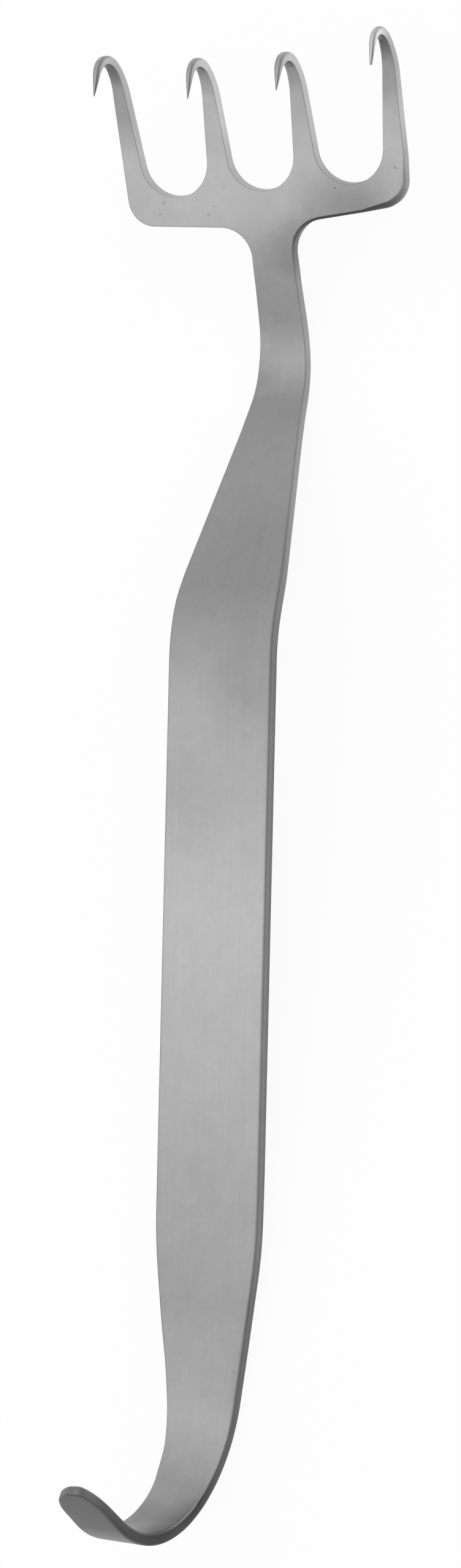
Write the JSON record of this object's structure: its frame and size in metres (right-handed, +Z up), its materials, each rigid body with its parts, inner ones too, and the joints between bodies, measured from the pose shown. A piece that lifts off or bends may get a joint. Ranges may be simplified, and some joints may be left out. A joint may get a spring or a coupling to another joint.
{
  "type": "hand-held rake retractor",
  "caption": "One-piece satin steel hand-held surgical retractor: flat strap handle, cranked neck with a rake of curled pointed prongs at one end and a broad tapering hook at the other",
  "frame": {"origin": "middle of the bounding box at its lowest level, which is the surface that the retractor lies on", "axes": "+X across the strap and the rake, +Y along the strap from the lower hook to the rake, +Z up, away from the surface, the way the prongs and the hook curl"},
  "size_m": [0.0508, 0.2417, 0.0497],
  "materials": {
    "satin_steel": "satin, fine brushing along the strap, light handling marks"
  },
  "bodies": {
    "root": {"retractor": "satin_steel"}
  },
  "joints": []
}
